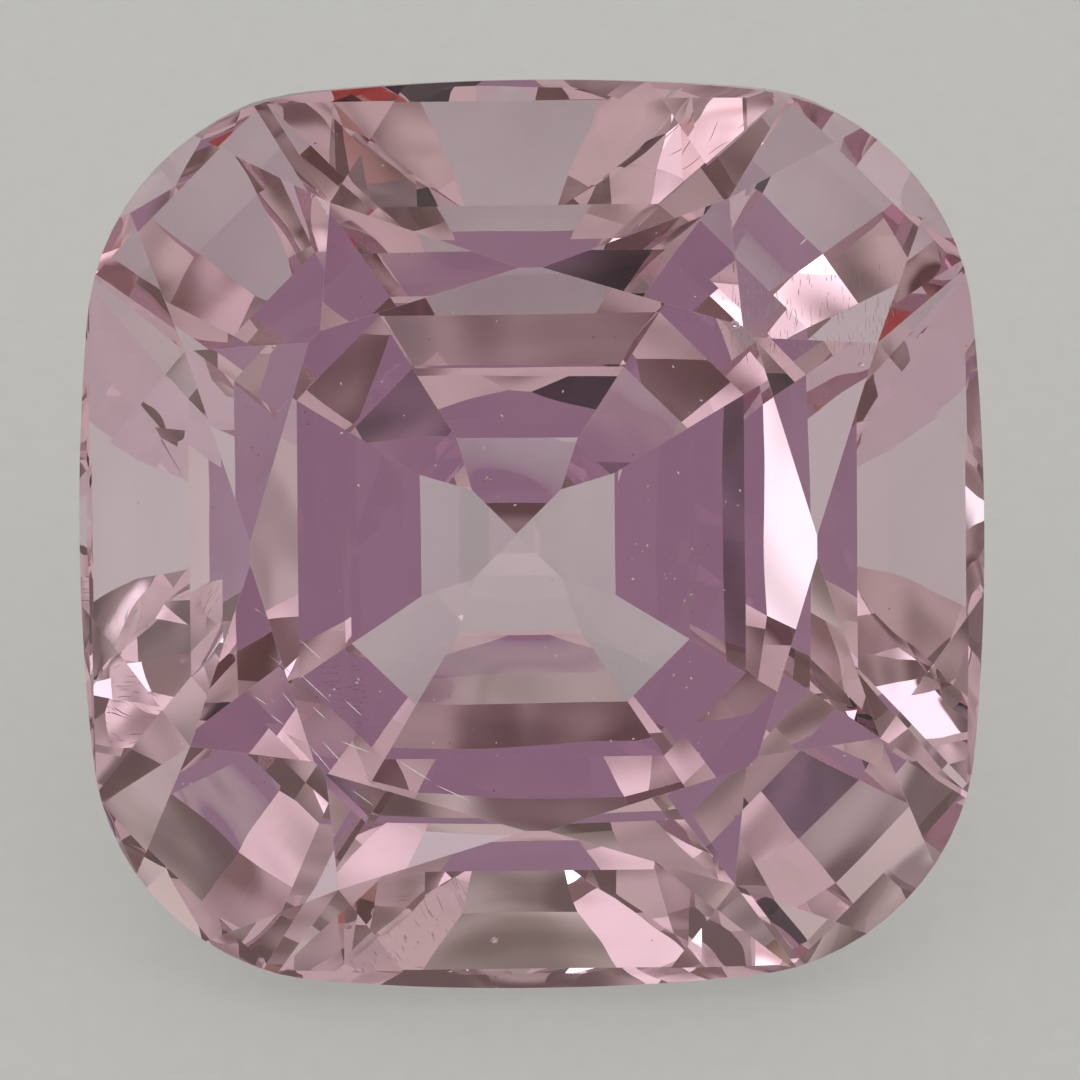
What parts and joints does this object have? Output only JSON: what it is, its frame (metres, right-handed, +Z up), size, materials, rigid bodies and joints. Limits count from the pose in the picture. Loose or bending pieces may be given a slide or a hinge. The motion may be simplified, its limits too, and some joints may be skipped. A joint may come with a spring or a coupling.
{
  "type": "cushion-cut kunzite gemstone",
  "caption": "Loose faceted kunzite with a cushion outline, a flat table, a kite and star crown and a stepped pavilion, lying on one side of its pavilion.",
  "frame": {"origin": "on the ground, under the middle of the stone as it lies", "axes": "+Z up, +X to the viewer's right, and -Y towards the viewer; the table faces -Y and up"},
  "size_m": [0.016, 0.012, 0.0135],
  "materials": {
    "crystal": "polished, transparent, pale lilac pink"
  },
  "bodies": {
    "root": {"kunzite": "crystal"}
  },
  "joints": []
}
